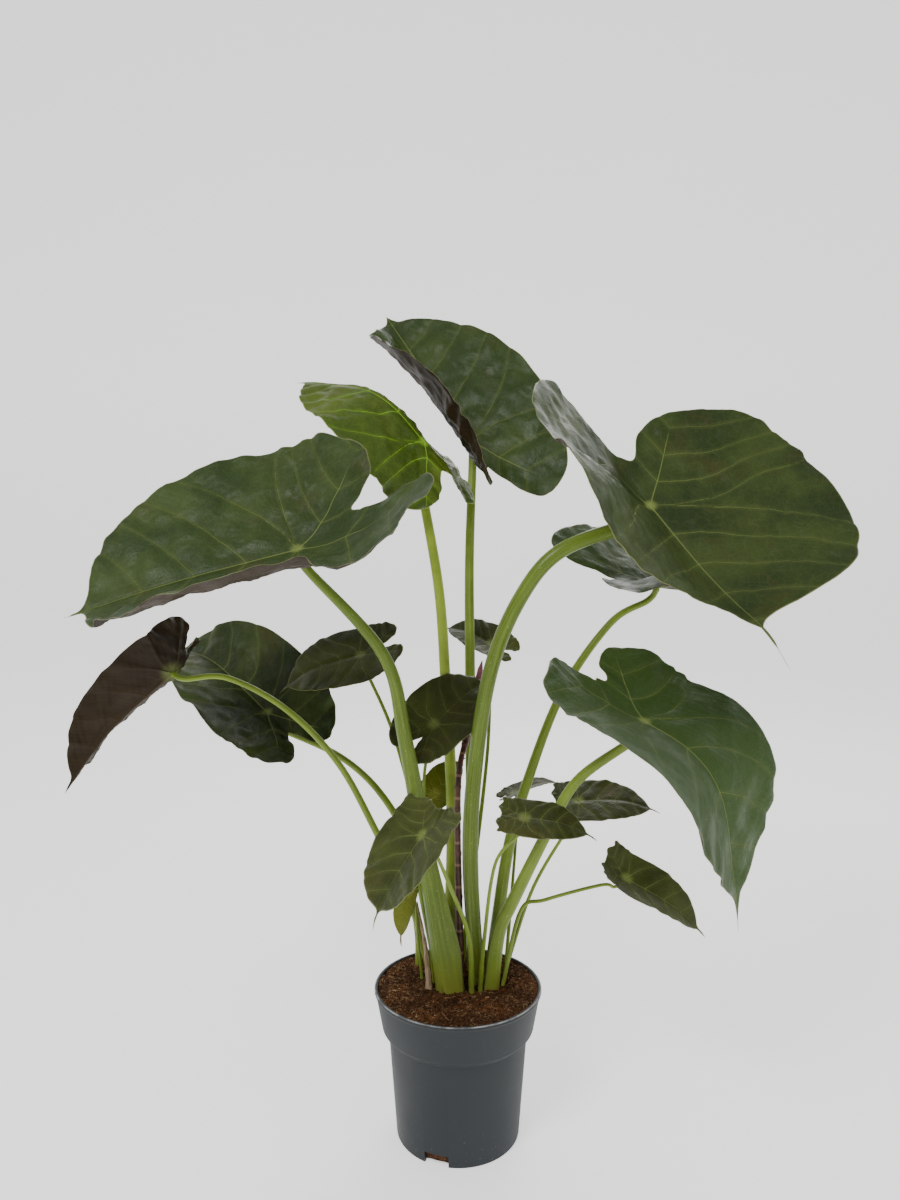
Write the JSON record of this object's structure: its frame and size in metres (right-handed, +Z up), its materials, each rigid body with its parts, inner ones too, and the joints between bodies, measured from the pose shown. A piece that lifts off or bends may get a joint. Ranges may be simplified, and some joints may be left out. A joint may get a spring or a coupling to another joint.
{
  "type": "potted alocasia",
  "caption": "Alocasia plant with large arrow-shaped leaves on long arching stalks, rooted in soil in a tapered round nursery pot with a flared collar.",
  "frame": {"origin": "centre of the pot's flat foot, on the surface that it stands on", "axes": "+Z up along the pot's axis; -Y towards the side that shows the most leaf faces; +X to the right of someone who looks from that side"},
  "size_m": [0.9109, 0.5924, 1.1225],
  "materials": {
    "pot": "matte moulded, slate blue-grey, rim scuffed paler",
    "soil": "loose brown peat and coir with pale fibres",
    "leaf": "waxy dark green with paler veins, purple-brown below",
    "young_leaf": "waxy yellow-green with bright veins",
    "aged_leaf": "dull olive yellow",
    "stalk": "smooth green, paler at the foot",
    "spear": "dark red-brown, finely ringed",
    "dry_sheath": "papery beige, dry"
  },
  "bodies": {
    "root": {"pot": "pot", "soil": "soil", "blade_left_high": "leaf", "stalk_left_high": "stalk", "blade_young": "young_leaf", "stalk_young": "stalk", "blade_crown": "leaf", "stalk_crown": "stalk", "blade_right_high": "leaf", "stalk_right_high": "stalk", "blade_right_low": "leaf", "stalk_right_low": "stalk", "blade_right_back": "leaf", "stalk_right_back": "stalk", "blade_left_far": "leaf", "stalk_left_far": "stalk", "blade_left_back": "leaf", "stalk_left_back": "stalk", "blade_small_left": "leaf", "stalk_small_left": "stalk", "blade_small_middle": "leaf", "stalk_small_middle": "stalk", "blade_small_front": "leaf", "stalk_small_front": "stalk", "blade_small_back": "leaf", "stalk_small_back": "stalk", "blade_small_sprout": "leaf", "stalk_small_sprout": "stalk", "blade_small_narrow": "leaf", "stalk_small_narrow": "stalk", "blade_small_right": "leaf", "stalk_small_right": "stalk", "blade_small_low": "leaf", "stalk_small_low": "stalk", "blade_small_tucked": "aged_leaf", "stalk_small_tucked": "stalk", "blade_small_hanging": "aged_leaf", "stalk_small_hanging": "stalk", "new_leaf_spear": "spear", "dry_sheath": "dry_sheath", "side_shoot": "stalk"}
  },
  "joints": []
}
